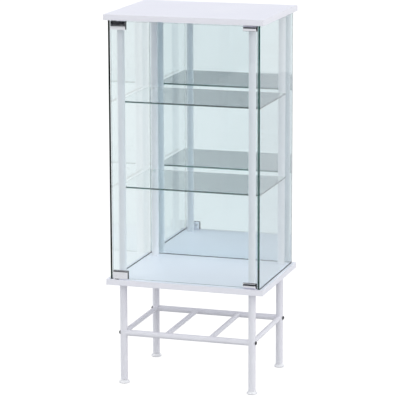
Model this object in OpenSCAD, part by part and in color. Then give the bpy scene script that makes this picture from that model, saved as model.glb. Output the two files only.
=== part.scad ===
// Curio cabinet: a glazed display case with a mirror back and a hinged glass door,
// standing on a knock-down stand of steel tube with a rack and four screw levellers.
// Millimetres, +Z up, front towards -Y, origin on the floor at the centre of the footprint.

/* [Boards] */
// Width of the top and bottom boards
board_w = 425; // [420:5:480]
// Depth of the boards
board_d = 325; // [320:5:380]
// Thickness of the boards
board_t = 15; // [15:1:20]
// Height of the whole cabinet
total_h = 980; // [900:10:1200]
// Height of the bottom board's underside above the floor
stand_h = 271; // [230:1:350]

/* [Glass] */
// Thickness of the side panels and the door
glass_t = 5; // [5:1:6]
// Thickness of the glass shelves
shelf_t = 4; // [4:1:6]
// Thickness of the mirror at the back
mirror_t = 3; // [2:1:3]
// Thickness of the hardboard behind the mirror
backing_t = 2.5; // [1:0.5:2.5]
// From the board's end to the outer face of a side panel
side_inset = 10.5; // [10:0.5:11]
// From the boards' front edge to the front face of the door
front_inset = 7; // [6:0.5:8]
// From the boards' rear edge to the silvered face of the mirror
mirror_inset = 5; // [5:0.5:8]
// Height of the lower shelf's top above the floor
lower_shelf_z = 527; // [480:1:560]
// Height of the upper shelf's top above the floor
upper_shelf_z = 752; // [700:1:800]

/* [Tubes] */
// Diameter of the posts and legs
post_d = 19; // [19:1:20]
// Wall of every steel tube
tube_wall = 1; // [0.8:0.1:1.2]
// Distance of the post axes from the cabinet's middle, along X
post_x = 175.5; // [175:0.5:176]
// Distance of the post axes from the cabinet's middle, along Y
post_y = 131.5; // [128:0.5:131.5]
// Diameter of the rack's front and rear rails
rail_d = 16; // [15:0.5:17]
// Diameter of the rack's cross bars and the stand's side bars
bar_d = 13; // [11:0.5:14]
// Height of the rack's axes above the floor
rail_z = 137; // [100:1:180]
// Distance of the rack's cross bars from the middle
cross_bar_x = 60; // [40:1:90]

/* [Door hardware] */
// Length of a hinge clip along the door
hinge_clip_w = 40; // [36:1:44]
// Height of a hinge clip
hinge_clip_h = 22.4; // [20:0.2:26]
// Length of a strike clip along the door
strike_clip_w = 37.5; // [36:0.5:40]
// Height of a strike clip
strike_clip_h = 13.5; // [13:0.5:16]
// Radius of the hinge pins
pin_r = 2.5; // [2:0.1:2.5]

/* [Feet] */
// Diameter of a leveller's plastic base
foot_d = 28; // [24:1:32]
// How high a leveller's base is
foot_h = 8.5; // [7:0.5:9]

/* [Hidden] */
$fn = 64;
overlap = 1;                                   // how far a cutter runs past a face
fit = 0.05;                                    // radial clearance of a pin or stud
case_z0 = stand_h + board_t;                   // floor of the display case
case_z1 = total_h - board_t;                   // ceiling of the display case
case_h = case_z1 - case_z0;
side_x0 = board_w / 2 - side_inset - glass_t;  // inner face of a side panel
front_y = -board_d / 2 + front_inset;          // front face of the door and side panels
mirror_y1 = board_d / 2 - mirror_inset;        // silvered face of the mirror
side_y1 = mirror_y1 + 1;                       // rear edge of a side panel
groove_depth = 4;
groove_gap = 0.3;                              // round a panel in its groove
bite = 3.5;                                    // how far a panel stands in its groove
pane_gap = 0.5;                                // between the mirror and a side panel
door_gap = 3;                                  // above and below the door
door_x = side_x0 - 2;                          // half the door's width
door_y1 = front_y + glass_t;
hinge_x = -door_x + 10;                        // axis of the door's pins
hinge_y = front_y + glass_t / 2;
clip_end = 0.5;                                // from the door's edge to a clip's end
clip_z0 = case_z0 + 1.6;                       // underside of the lower clips
plate_t = 1.5;                                 // a hinge clip's front plate
inner_plate_t = 2.5;                           // a hinge clip's screwed plate
front_pad_t = 0.5;
rear_pad_t = 1;
grub_x = [hinge_x, hinge_x + 21];
grub_z = 12.5;                                 // above a clip's underside
bush_r = 4;
bush_depth = 8.5;
bush_floor = 1;
flange_t = 1;
catch_x = post_x;
catch_w = 24;
catch_ear = 6;
catch_h = 11;
catch_d = 6;
catch_gap = 0.4;                               // between a magnet and its strike
strike_t = 1.2;
strike_pad = 0.3;                              // tape between the strike clip and the glass
strike_bulge = 3.2;                            // how far its front stands out
plug_r = post_d / 2 - tube_wall;
plug_h = 14;
stud_r = 4;
hanger_r = 3;
bolt_r = 3;
leg_z0 = 10;                                   // lower end of a leg
socket_h = 24;
peg_r = 2.5;
peg_len = 13;
sleeve_r = 3.5;
shelf_gap = 1.5;                               // between a shelf and the posts
shelf_x = side_x0 - 8;                         // half a shelf's width
shelf_y = post_y - post_d / 2 - shelf_gap;     // half a shelf's depth
plug_hole_x = 183;
plug_hole_y = 85.5;
white = "whitesmoke";
steel_white = "gainsboro";
glass = [0.75, 0.92, 0.9, 0.35];

// ---------- helpers ----------

// Children at the four post axes
module at_posts() {
    for (sx = [-1, 1], sy = [-1, 1])
        translate([sx * post_x, sy * post_y, 0]) children();
}

// Children as drawn for the case's floor, mirrored up to its ceiling
module at_ceiling() {
    translate([0, 0, case_z0 + case_z1]) mirror([0, 0, 1]) children();
}

// Box from two corners
module block(low, high) {
    translate(low) cube(high - low);
}

// Tube that stands on z = 0
module tube(d, wall, h) {
    difference() {
        cylinder(d = d, h = h);
        translate([0, 0, -overlap]) cylinder(d = d - 2 * wall, h = h + 2 * overlap);
    }
}

// Cylinder along X from x0 to x1
module rod_x(r, x0, x1) {
    translate([x0, 0, 0]) rotate([0, 90, 0]) cylinder(r = r, h = x1 - x0);
}

// Cylinder along Y from y0 to y1
module rod_y(r, y0, y1) {
    translate([0, y0, 0]) rotate([-90, 0, 0]) cylinder(r = r, h = y1 - y0);
}

// ---------- boards ----------

// Grooves for the side panels and the mirror, cut into the case's floor
module panel_grooves() {
    z0 = case_z0 - groove_depth;
    z1 = case_z0 + overlap;
    for (s = [-1, 1])
        translate([s * (side_x0 + glass_t / 2), 0, 0])
            block([-glass_t / 2 - groove_gap, front_y - groove_gap, z0],
                  [glass_t / 2 + groove_gap, side_y1 + groove_gap, z1]);
    block([-side_x0, mirror_y1 - mirror_t - groove_gap, z0],
          [side_x0, mirror_y1 + backing_t + groove_gap, z1]);
}

// Blind holes for the hinge bush and the two screws of the magnet catch
module hardware_holes() {
    translate([hinge_x, hinge_y, case_z0 - bush_depth - 0.5])
        cylinder(r = bush_r + fit, h = bush_depth + 0.5 + overlap);
    catch_screw_places()
        translate([0, 0, case_z0 - 8]) cylinder(r = 1.5, h = 8 + overlap);
}

module bottom_board() {
    color(white) difference() {
        block([-board_w / 2, -board_d / 2, stand_h], [board_w / 2, board_d / 2, case_z0]);
        panel_grooves();
        hardware_holes();
        at_posts() translate([0, 0, stand_h - overlap])
            cylinder(r = stud_r + 0.25, h = board_t + 2 * overlap);
        hole_plug_places() translate([0, 0, case_z0 - 9]) cylinder(r = 2.5, h = 9 + overlap);
    }
}

module top_board() {
    color(white) difference() {
        block([-board_w / 2, -board_d / 2, case_z1], [board_w / 2, board_d / 2, total_h]);
        at_ceiling() {
            panel_grooves();
            hardware_holes();
        }
        at_posts() translate([0, 0, case_z1 - overlap])
            cylinder(r = hanger_r, h = 11 + overlap);
    }
}

module hole_plug_places() {
    for (sx = [-1, 1], sy = [-1, 1])
        translate([sx * plug_hole_x, sy * plug_hole_y, 0]) children();
}

// Small plastic plugs in the floor's spare holes
module hole_plugs() {
    color(white) hole_plug_places() {
        translate([0, 0, case_z0 - 8]) cylinder(r = 2.5, h = 8);
        translate([0, 0, case_z0]) cylinder(r1 = 3.5, r2 = 2.8, h = 0.8);
    }
}

// ---------- fixed glass ----------

module side_glass(side) {
    color(glass) translate([side * (side_x0 + glass_t / 2), 0, 0])
        block([-glass_t / 2, front_y, case_z0 - bite], [glass_t / 2, side_y1, case_z1 + bite]);
}

module mirror_glass() {
    x = side_x0 - pane_gap;
    color("lightsteelblue")
        block([-x, mirror_y1 - mirror_t, case_z0 - bite], [x, mirror_y1, case_z1 + bite]);
}

module mirror_backing() {
    x = side_x0 - pane_gap;
    color("lightgray")
        block([-x, mirror_y1, case_z0 - bite], [x, mirror_y1 + backing_t, case_z1 + bite]);
}

// ---------- door ----------

module door_glass() {
    color(glass)
        block([-door_x, front_y, case_z0 + door_gap], [door_x, door_y1, case_z1 - door_gap]);
}

// Channel that is clamped over the door's lower corner
module hinge_clip() {
    x0 = -door_x + clip_end;
    x1 = x0 + hinge_clip_w;
    y0 = front_y - front_pad_t - plate_t;
    y1 = door_y1 + rear_pad_t + inner_plate_t;
    color("silver") difference() {
        block([x0, y0, clip_z0], [x1, y1, clip_z0 + hinge_clip_h]);
        block([x0 - overlap, front_y - front_pad_t, case_z0 + door_gap],
              [x1 + overlap, door_y1 + rear_pad_t, clip_z0 + hinge_clip_h + overlap]);
        translate([hinge_x, hinge_y, clip_z0 - overlap]) cylinder(r = pin_r, h = 4);
        for (x = grub_x)
            translate([x, 0, clip_z0 + grub_z]) rod_y(2, door_y1 + rear_pad_t, y1 + overlap);
    }
}

// Pin that is pressed into the clip's web and turns in the bush
module hinge_pin() {
    z0 = case_z0 - bush_depth + bush_floor + 0.3;
    color("silver") translate([hinge_x, hinge_y, z0])
        cylinder(r = pin_r, h = case_z0 + door_gap - z0);
}

// Flanged plastic bush in the board
module hinge_bush() {
    color("dimgray") translate([hinge_x, hinge_y, case_z0 - bush_depth]) difference() {
        union() {
            cylinder(r = bush_r, h = bush_depth);
            translate([0, 0, bush_depth]) cylinder(r = 6, h = flange_t);
        }
        translate([0, 0, bush_floor]) cylinder(r = pin_r + fit, h = bush_depth + flange_t);
    }
}

// Vinyl pads on both faces of the glass inside one hinge clip
module clip_pads() {
    x0 = -door_x + clip_end + 0.5;
    x1 = x0 + hinge_clip_w - 1;
    z0 = case_z0 + door_gap + 0.3;
    z1 = clip_z0 + hinge_clip_h - 0.7;
    block([x0, front_y - front_pad_t, z0], [x1, front_y, z1]);
    block([x0, door_y1, z0], [x1, door_y1 + rear_pad_t, z1]);
}

module hinge_pads() {
    color("dimgray") {
        clip_pads();
        at_ceiling() clip_pads();
    }
}

// Grub screws that press one hinge clip onto the glass, with a hexagon socket
module clip_grub_screws() {
    y0 = door_y1 + rear_pad_t;
    for (x = grub_x)
        translate([x, 0, clip_z0 + grub_z]) difference() {
            rod_y(2, y0, y0 + inner_plate_t);
            translate([0, y0 + 1, 0]) rotate([-90, 0, 0]) cylinder(r = 1.1, h = 3, $fn = 6);
        }
}

module hinge_grub_screws() {
    color("dimgray") {
        clip_grub_screws();
        at_ceiling() clip_grub_screws();
    }
}

// Plated strike with a rounded front, slid over the door's lower free corner
module strike_clip() {
    x1 = door_x - clip_end;
    x0 = x1 - strike_clip_w;
    z1 = clip_z0 + strike_clip_h;
    y1 = door_y1 + strike_pad + strike_t;
    y0 = front_y - strike_pad;
    // radius of the front's curve, from its height and how far it stands out
    curve_r = (pow(strike_clip_h / 2, 2) + pow(strike_bulge, 2)) / (2 * strike_bulge);
    color("silver") difference() {
        union() {
            block([x0, y0 - 0.8, clip_z0], [x1, y1, z1]);
            intersection() {
                block([x0, y0 - 0.8 - strike_bulge, clip_z0], [x1, y0 - 0.7, z1]);
                translate([0, y0 - 0.8 - strike_bulge + curve_r, (clip_z0 + z1) / 2])
                    rod_x(curve_r, x0, x1);
            }
        }
        block([x0 - overlap, y0, case_z0 + door_gap],
              [x1 + overlap, door_y1 + strike_pad, z1 + overlap]);
    }
}

// ---------- magnet catches ----------

module catch_screw_places() {
    for (s = [-1, 1])
        translate([catch_x + s * (catch_w + catch_ear) / 2,
                   door_y1 + strike_pad + strike_t + catch_gap + catch_d / 2, 0]) children();
}

// Plastic block behind the strike, with an ear and a screw at each end
module catch_housing() {
    y0 = door_y1 + strike_pad + strike_t + catch_gap;
    half = catch_w / 2;
    color(white) difference() {
        union() {
            block([catch_x - half, y0, case_z0], [catch_x + half, y0 + catch_d, case_z0 + catch_h]);
            block([catch_x - half - catch_ear, y0, case_z0],
                  [catch_x + half + catch_ear, y0 + catch_d, case_z0 + 3]);
        }
        block([catch_x - half + 2, y0 - overlap, case_z0 + 2],
              [catch_x + half - 2, y0 + catch_d - 2, case_z0 + catch_h - 2]);
        catch_screw_places() translate([0, 0, case_z0 - overlap]) cylinder(r = 1.6, h = 6);
    }
}

module catch_magnet() {
    y0 = door_y1 + strike_pad + strike_t + catch_gap;
    half = catch_w / 2 - 2;
    block([catch_x - half, y0, case_z0 + 2],
          [catch_x + half, y0 + catch_d - 2, case_z0 + catch_h - 2]);
}

module catch_magnets() {
    color("dimgray") {
        catch_magnet();
        at_ceiling() catch_magnet();
    }
}

module catch_screw_pair() {
    catch_screw_places() {
        translate([0, 0, case_z0 - 7]) cylinder(r = 1.5, h = 10);
        translate([0, 0, case_z0 + 3]) cylinder(r1 = 2.7, r2 = 1.8, h = 1.4);
    }
}

module catch_screws() {
    color("silver") {
        catch_screw_pair();
        at_ceiling() catch_screw_pair();
    }
}

// ---------- shelves ----------

module shelf(top_z) {
    color(glass) block([-shelf_x, -shelf_y, top_z - shelf_t], [shelf_x, shelf_y, top_z]);
}

function peg_z(top_z) = top_z - shelf_t - sleeve_r - fit;

// Pegs screwed into the posts, pointing in under the shelf's edges
module shelf_pegs(top_z) {
    face = post_y - post_d / 2;
    color("silver") for (sx = [-1, 1], turn = [0, 180])
        rotate([0, 0, turn]) translate([sx * post_x, 0, peg_z(top_z)]) {
            rod_y(peg_r, -face - 4, -face + peg_len);
            rod_y(sleeve_r - 0.1, -face + peg_len, -face + peg_len + 1.2);
        }
}

// Clear vinyl sleeves on the pegs
module shelf_sleeves(top_z) {
    face = post_y - post_d / 2;
    color("white") for (sx = [-1, 1], turn = [0, 180])
        rotate([0, 0, turn]) translate([sx * post_x, 0, peg_z(top_z)]) difference() {
            rod_y(sleeve_r, -face + 0.3, -face + peg_len);
            rod_y(peg_r, -face, -face + peg_len + overlap);
        }
}

// ---------- posts and legs ----------

// Tube between the boards, with a hole for each shelf peg
module post(sx, sy) {
    color(steel_white) translate([sx * post_x, sy * post_y, 0]) difference() {
        translate([0, 0, case_z0]) tube(post_d, tube_wall, case_h);
        for (z = [peg_z(lower_shelf_z), peg_z(upper_shelf_z)])
            translate([0, 0, z]) rotate([0, 0, sy > 0 ? 180 : 0])
                rod_y(peg_r, 0, post_d);
    }
}

// Tube below the bottom board, cross drilled for the rack bolt
module leg(sx, sy) {
    color(steel_white) translate([sx * post_x, sy * post_y, 0]) difference() {
        translate([0, 0, leg_z0]) tube(post_d, tube_wall, stand_h - leg_z0);
        translate([0, 0, rail_z]) rod_x(bolt_r + 0.2, -post_d, post_d);
    }
}

// Threaded plug for a tube's end
module plug(bore_r, h) {
    difference() {
        cylinder(r = plug_r, h = h);
        translate([0, 0, -overlap]) cylinder(r = bore_r + fit, h = h + 2 * overlap);
    }
}

module post_plugs() {
    color("silver") at_posts() {
        translate([0, 0, case_z0]) plug(stud_r, plug_h);
        translate([0, 0, case_z1 - plug_h]) plug(hanger_r, plug_h);
    }
}

module leg_plugs() {
    color("silver") at_posts() translate([0, 0, stand_h - plug_h]) plug(stud_r, plug_h);
}

// Double ended studs that join a leg, the bottom board and a post
module joining_studs() {
    color("silver") at_posts() translate([0, 0, stand_h - plug_h + 2])
        cylinder(r = stud_r, h = board_t + 2 * plug_h - 4);
}

// Hanger screws from the posts up into the top board
module hanger_screws() {
    color("silver") at_posts() translate([0, 0, case_z1 - plug_h + 2])
        cylinder(r = hanger_r, h = plug_h + 8);
}

// ---------- rack ----------

module leg_cutters() {
    at_posts() translate([0, 0, rail_z - 2 * post_d]) cylinder(d = post_d, h = 4 * post_d);
}

// Bar welded between the front and rear legs, its ends coped to the tubes
module side_bar(side) {
    color(steel_white) difference() {
        translate([side * post_x, 0, rail_z]) difference() {
            rod_y(bar_d / 2, -post_y, post_y);
            rod_y(bar_d / 2 - tube_wall, -post_y - overlap, post_y + overlap);
        }
        leg_cutters();
    }
}

// Rail bolted between the left and right legs
module rack_rail(side) {
    color(steel_white) difference() {
        translate([0, side * post_y, rail_z]) difference() {
            rod_x(rail_d / 2, -post_x, post_x);
            rod_x(rail_d / 2 - tube_wall, -post_x - overlap, post_x + overlap);
        }
        leg_cutters();
    }
}

// Cross bar welded between the two rails
module rack_bar(side) {
    color(steel_white) difference() {
        translate([side * cross_bar_x, 0, rail_z]) difference() {
            rod_y(bar_d / 2, -post_y, post_y);
            rod_y(bar_d / 2 - tube_wall, -post_y - overlap, post_y + overlap);
        }
        for (s = [-1, 1])
            translate([0, s * post_y, rail_z]) rod_x(rail_d / 2, -post_x, post_x);
    }
}

// Threaded plugs inside the ends of both rails
module rail_plugs() {
    color("silver") difference() {
        for (sx = [-1, 1], sy = [-1, 1])
            translate([sx * (post_x - post_d / 2 - 6), sy * post_y, rail_z]) difference() {
                rod_x(rail_d / 2 - tube_wall, -10, 10);
                rod_x(bolt_r + fit, -11, 11);
            }
        leg_cutters();
    }
}

// Bolts that pass through the legs into the rails, with a domed hexagon-socket head
module rack_bolts() {
    face = post_x + post_d / 2;
    color("dimgray") for (sy = [-1, 1], turn = [0, 180])
        rotate([0, 0, turn]) translate([0, sy * post_y, rail_z]) difference() {
            union() {
                rod_x(bolt_r, face - post_d - 14, face);
                translate([face, 0, 0]) rotate([0, 90, 0]) cylinder(r1 = 5.2, r2 = 3.6, h = 3.2);
            }
            translate([face + 1.4, 0, 0]) rotate([0, 90, 0]) cylinder(r = 2.1, h = 3, $fn = 6);
        }
}

// ---------- levellers ----------

// Threaded plastic sockets in the lower ends of the legs
module foot_sockets() {
    color(white) at_posts() translate([0, 0, leg_z0 - 1]) difference() {
        union() {
            cylinder(d = post_d, h = 1);
            cylinder(r = plug_r, h = socket_h);
        }
        translate([0, 0, -overlap]) cylinder(r = stud_r + 0.08, h = socket_h + 2 * overlap);
    }
}

// Plastic base of one leveller, flared down to the floor
module foot(sx, sy) {
    r = foot_d / 2;
    color(white) translate([sx * post_x, sy * post_y, 0]) difference() {
        rotate_extrude()
            polygon([[0, 0], [r - 1.5, 0], [r, 1.5], [r, 3.6], [r - 3.6, foot_h], [0, foot_h]]);
        translate([0, 0, 3]) cylinder(r = stud_r, h = foot_h);
    }
}

// Steel stud moulded into the base
module foot_stud(sx, sy) {
    color("silver") translate([sx * post_x, sy * post_y, 3]) cylinder(r = stud_r, h = 27);
}

bottom_board();
top_board();
hole_plugs();
side_glass(-1);  // side_glass_left
side_glass(1);  // side_glass_right
mirror_glass();
mirror_backing();
door_glass();
hinge_clip();  // hinge_clip_lower
at_ceiling() hinge_clip();  // hinge_clip_upper
hinge_pin();  // hinge_pin_lower
at_ceiling() hinge_pin();  // hinge_pin_upper
hinge_bush();  // hinge_bush_lower
at_ceiling() hinge_bush();  // hinge_bush_upper
hinge_pads();
hinge_grub_screws();
strike_clip();  // strike_clip_lower
at_ceiling() strike_clip();  // strike_clip_upper
catch_housing();  // catch_housing_lower
at_ceiling() catch_housing();  // catch_housing_upper
catch_magnets();
catch_screws();
shelf(lower_shelf_z);  // shelf_lower
shelf(upper_shelf_z);  // shelf_upper
shelf_pegs(lower_shelf_z);  // shelf_pegs_lower
shelf_pegs(upper_shelf_z);  // shelf_pegs_upper
shelf_sleeves(lower_shelf_z);  // shelf_sleeves_lower
shelf_sleeves(upper_shelf_z);  // shelf_sleeves_upper
post(-1, -1);  // post_front_left
post(1, -1);  // post_front_right
post(-1, 1);  // post_rear_left
post(1, 1);  // post_rear_right
leg(-1, -1);  // leg_front_left
leg(1, -1);  // leg_front_right
leg(-1, 1);  // leg_rear_left
leg(1, 1);  // leg_rear_right
post_plugs();
leg_plugs();
joining_studs();
hanger_screws();
side_bar(-1);  // side_bar_left
side_bar(1);  // side_bar_right
rack_rail(-1);  // rack_rail_front
rack_rail(1);  // rack_rail_rear
rack_bar(-1);  // rack_bar_left
rack_bar(1);  // rack_bar_right
rail_plugs();
rack_bolts();
foot_sockets();
foot(-1, -1);  // foot_front_left
foot(1, -1);  // foot_front_right
foot(-1, 1);  // foot_rear_left
foot(1, 1);  // foot_rear_right
foot_stud(-1, -1);  // foot_stud_front_left
foot_stud(1, -1);  // foot_stud_front_right
foot_stud(-1, 1);  // foot_stud_rear_left
foot_stud(1, 1);  // foot_stud_rear_right
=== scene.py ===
"""A glazed curio cabinet on a steel-tube stand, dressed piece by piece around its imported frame."""

import math

import bmesh
import bpy
from mathutils import Matrix, Vector


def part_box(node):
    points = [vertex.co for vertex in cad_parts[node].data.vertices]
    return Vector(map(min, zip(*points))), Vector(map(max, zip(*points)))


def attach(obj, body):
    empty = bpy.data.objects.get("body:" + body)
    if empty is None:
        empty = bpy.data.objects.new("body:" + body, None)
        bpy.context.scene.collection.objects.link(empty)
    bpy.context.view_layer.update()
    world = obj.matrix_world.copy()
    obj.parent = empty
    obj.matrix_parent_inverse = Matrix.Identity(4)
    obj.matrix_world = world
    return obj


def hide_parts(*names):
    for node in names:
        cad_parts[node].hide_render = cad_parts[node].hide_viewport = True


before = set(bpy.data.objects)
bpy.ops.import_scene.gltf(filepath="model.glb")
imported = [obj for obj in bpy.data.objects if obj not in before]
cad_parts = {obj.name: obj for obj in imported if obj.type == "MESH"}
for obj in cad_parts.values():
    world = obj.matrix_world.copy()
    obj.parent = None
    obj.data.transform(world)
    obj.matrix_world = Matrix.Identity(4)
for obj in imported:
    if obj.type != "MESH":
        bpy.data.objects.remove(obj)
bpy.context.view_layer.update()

MM = 0.001


# ---------------------------------------------------------------- studio
# A camera with a long lens stands a little to the cabinet's right and looks down on it, over a white sweep.
# Dark cloths and a grey one stand and lie round about, where only the glass and the chrome see them.
# Two very soft lamps and a sky that is brightest near the horizon light the cabinet.

quarter_turn = math.pi / 2
view_azimuth = math.radians(17.67)
view_drop = math.radians(12.02)
view_roll = math.radians(-0.17)
view_aim = Vector((0, -0.02, 0.481))
view_distance = 5.77

turn = (
    Matrix.Rotation(view_azimuth, 4, "Z")
    @ Matrix.Rotation(quarter_turn - view_drop, 4, "X")
    @ Matrix.Rotation(view_roll, 4, "Z")
)
camera = bpy.data.objects.new("camera", bpy.data.cameras.new("camera"))
camera.data.lens = 198
camera.data.sensor_width = 36
camera.data.clip_end = 100
camera.matrix_world = Matrix.Translation(view_aim + turn.to_3x3() @ Vector((0, 0, view_distance))) @ turn
bpy.context.scene.collection.objects.link(camera)
bpy.context.scene.camera = camera
bpy.context.scene.view_settings.view_transform = "Standard"
bpy.context.scene.cycles.blur_glossy = 0
bpy.context.scene.cycles.max_bounces = 32
bpy.context.scene.cycles.transmission_bounces = 32
bpy.context.scene.cycles.glossy_bounces = 12
bpy.context.scene.cycles.transparent_max_bounces = 32


def stage_plane(name, width, depth, place, colour, tilt=0, heading=0):
    """A flat, matt stage surface of one colour, tilted about X, turned to a heading and set at a place."""
    bm = bmesh.new()
    bmesh.ops.create_grid(bm, x_segments=1, y_segments=1, size=0.5)
    bmesh.ops.scale(bm, vec=(width, depth, 1), verts=bm.verts)
    turned_to = Matrix.Rotation(heading, 3, "Z") @ Matrix.Rotation(tilt, 3, "X")
    bmesh.ops.rotate(bm, matrix=turned_to, verts=bm.verts)
    bmesh.ops.translate(bm, vec=place, verts=bm.verts)
    mesh = bpy.data.meshes.new(name)
    bm.to_mesh(mesh)
    bm.free()
    finish = bpy.data.materials.new(name)
    finish.use_nodes = True
    shader = finish.node_tree.nodes["Principled BSDF"]
    shader.inputs["Base Color"].default_value = (*colour, 1)
    shader.inputs["Roughness"].default_value = 0.9
    shader.inputs["Specular IOR Level"].default_value = 0.1
    mesh.materials.append(finish)
    plane = bpy.data.objects.new(name, mesh)
    bpy.context.scene.collection.objects.link(plane)
    return plane


# Each kind of ray sees the sweep glow at its own strength, with a little grey that takes the shadows.
floor = stage_plane("floor", 60, 60, (0, 0, 0), (0.46, 0.46, 0.465))
shadow_grey = (0.18, 0.18, 0.18, 1)
sweep = floor.data.materials[0].node_tree
path = sweep.nodes.new("ShaderNodeLightPath")
last_choice = sweep.nodes["Principled BSDF"].outputs[0]
for ray, glow_colour, glow_strength in (
    ("Is Glossy Ray", (0.96, 0.975, 1.0, 1), 0.66),
    ("Is Transmission Ray", (0.955, 0.98, 1.0, 1), 0.83),
    ("Is Camera Ray", (1, 1, 1, 1), 0.9),
):
    glow = sweep.nodes.new("ShaderNodeEmission")
    glow.inputs["Color"].default_value = glow_colour
    glow.inputs["Strength"].default_value = glow_strength
    lit = sweep.nodes.new("ShaderNodeBsdfDiffuse")
    lit.inputs["Color"].default_value = shadow_grey
    bright = sweep.nodes.new("ShaderNodeAddShader")
    sweep.links.new(glow.outputs[0], bright.inputs[0])
    sweep.links.new(lit.outputs[0], bright.inputs[1])
    choice = sweep.nodes.new("ShaderNodeMixShader")
    sweep.links.new(path.outputs[ray], choice.inputs[0])
    sweep.links.new(last_choice, choice.inputs[1])
    sweep.links.new(bright.outputs[0], choice.inputs[2])
    last_choice = choice.outputs[0]
sweep.links.new(last_choice, sweep.nodes["Material Output"].inputs["Surface"])

black_cloth = (0.03, 0.032, 0.037)
just_above_floor = 0.002
dark_wall = stage_plane("dark_wall", 3.4, 1.9, (-2.8, -8.5, 2.45), (0.16, 0.175, 0.205), quarter_turn)
dark_screen = stage_plane("dark_screen", 18, 12, (-2, -8.6, 9.4), black_cloth, quarter_turn)
dark_side = stage_plane("dark_side", 7.6, 8, (6, -4.8, 4), black_cloth, quarter_turn, quarter_turn)
dark_flag = stage_plane("dark_flag", 6, 3.6, (-4.45, -6.7, just_above_floor), black_cloth)
dark_sill = stage_plane("dark_sill", 6, 1.0, (-4.45, -8.55, 0.5), (0.02, 0.02, 0.024), quarter_turn)
grey_flag = stage_plane("grey_flag", 3.2, 4.6, (1.2, 2.9, just_above_floor), (0.54, 0.54, 0.57))
for cloth in (dark_wall, dark_screen, dark_side, dark_flag, dark_sill, grey_flag):
    cloth.visible_camera = False
    cloth.visible_diffuse = False
    cloth.visible_shadow = False
    cloth.visible_transmission = cloth == dark_wall


def soft_lamp(name, direction, strength):
    """A very soft, distant lamp that shines along a direction."""
    light = bpy.data.lights.new(name, "SUN")
    light.energy = strength
    light.angle = math.radians(60)
    lamp = bpy.data.objects.new(name, light)
    lamp.rotation_euler = Vector(direction).to_track_quat("-Z", "Y").to_euler()
    bpy.context.scene.collection.objects.link(lamp)


soft_lamp("left_light", (1.0, 0.2, -0.9), 0.6)
soft_lamp("right_light", (-0.8, 0.25, -0.65), 1.0)

sky = bpy.data.worlds.new("studio")
sky.use_nodes = True
sky_nodes = sky.node_tree.nodes
sky_links = sky.node_tree.links
direction = sky_nodes.new("ShaderNodeSeparateXYZ")
sky_links.new(sky_nodes.new("ShaderNodeTexCoord").outputs["Generated"], direction.inputs[0])
horizon_strength = 1.75
zenith_strength = 0.3
fall = sky_nodes.new("ShaderNodeMapRange")
fall.inputs["To Min"].default_value = horizon_strength
fall.inputs["To Max"].default_value = zenith_strength
sky_links.new(direction.outputs["Z"], fall.inputs["Value"])
path = sky_nodes.new("ShaderNodeLightPath")
last_strength = fall.outputs[0]
for ray, ray_strength in (("Is Glossy Ray", 0.62), ("Is Transmission Ray", 1.02), ("Is Camera Ray", 1.1)):
    choice = sky_nodes.new("ShaderNodeMix")
    sky_links.new(path.outputs[ray], choice.inputs[0])
    sky_links.new(last_strength, choice.inputs[2])
    choice.inputs[3].default_value = ray_strength
    last_strength = choice.outputs[0]
sky_nodes["Background"].inputs["Color"].default_value = (0.955, 0.975, 1.0, 1)
sky_links.new(last_strength, sky_nodes["Background"].inputs["Strength"])
bpy.context.scene.world = sky


# ---------------------------------------------------------------- boards
# The two boards are chipboard faced with white melamine, with a thin plastic band glued round the edge.
# A saw has cut grooves for the glass and the mirror into the faces that look at each other.


def plain_material(name):
    """A new material: its node tree, its Principled shader and a socket of Object coordinates."""
    material = bpy.data.materials.new(name)
    material.use_nodes = True
    tree = material.node_tree
    shader = tree.nodes["Principled BSDF"]
    place = tree.nodes.new("ShaderNodeTexCoord").outputs["Object"]
    return material, tree, shader, place


def noise(tree, place, scale, detail=2.0, stretch=(1, 1, 1)):
    """Noise from 0 to 1, with about scale lumps to the metre, drawn out by stretch."""
    mapping = tree.nodes.new("ShaderNodeMapping")
    mapping.inputs["Scale"].default_value = stretch
    tree.links.new(place, mapping.inputs["Vector"])
    texture = tree.nodes.new("ShaderNodeTexNoise")
    texture.inputs["Scale"].default_value = scale
    texture.inputs["Detail"].default_value = detail
    tree.links.new(mapping.outputs[0], texture.inputs["Vector"])
    return texture.outputs[0]


def colour_between(tree, value, socket, low, high):
    """Runs a colour socket from low to high as the value goes from 0.3 to 0.7."""
    ramp = tree.nodes.new("ShaderNodeValToRGB")
    ramp.color_ramp.elements[0].position = 0.3
    ramp.color_ramp.elements[0].color = (*low, 1)
    ramp.color_ramp.elements[1].position = 0.7
    ramp.color_ramp.elements[1].color = (*high, 1)
    tree.links.new(value, ramp.inputs[0])
    tree.links.new(ramp.outputs[0], socket)


def number_between(tree, value, socket, low, high):
    """Runs a number socket from low to high as the value goes from 0.3 to 0.7."""
    span = tree.nodes.new("ShaderNodeMapRange")
    span.inputs["From Min"].default_value = 0.3
    span.inputs["From Max"].default_value = 0.7
    span.inputs["To Min"].default_value = low
    span.inputs["To Max"].default_value = high
    tree.links.new(value, span.inputs["Value"])
    tree.links.new(span.outputs[0], socket)


def raise_surface(tree, value, shader, height):
    """Bumps the shader's surface by a height in metres."""
    bump = tree.nodes.new("ShaderNodeBump")
    bump.inputs["Distance"].default_value = height
    tree.links.new(value, bump.inputs["Height"])
    tree.links.new(bump.outputs["Normal"], shader.inputs["Normal"])


def grained_finish(name, scale, detail, colours, roughness, relief=0.0, metallic=0.0, stretch=(1, 1, 1)):
    """A finish whose colour, roughness and relief in metres all follow one grain."""
    material, tree, shader, place = plain_material(name)
    grain = noise(tree, place, scale, detail, stretch)
    colour_between(tree, grain, shader.inputs["Base Color"], *colours)
    number_between(tree, grain, shader.inputs["Roughness"], *roughness)
    shader.inputs["Metallic"].default_value = metallic
    if relief:
        raise_surface(tree, grain, shader, relief)
    return material


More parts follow.
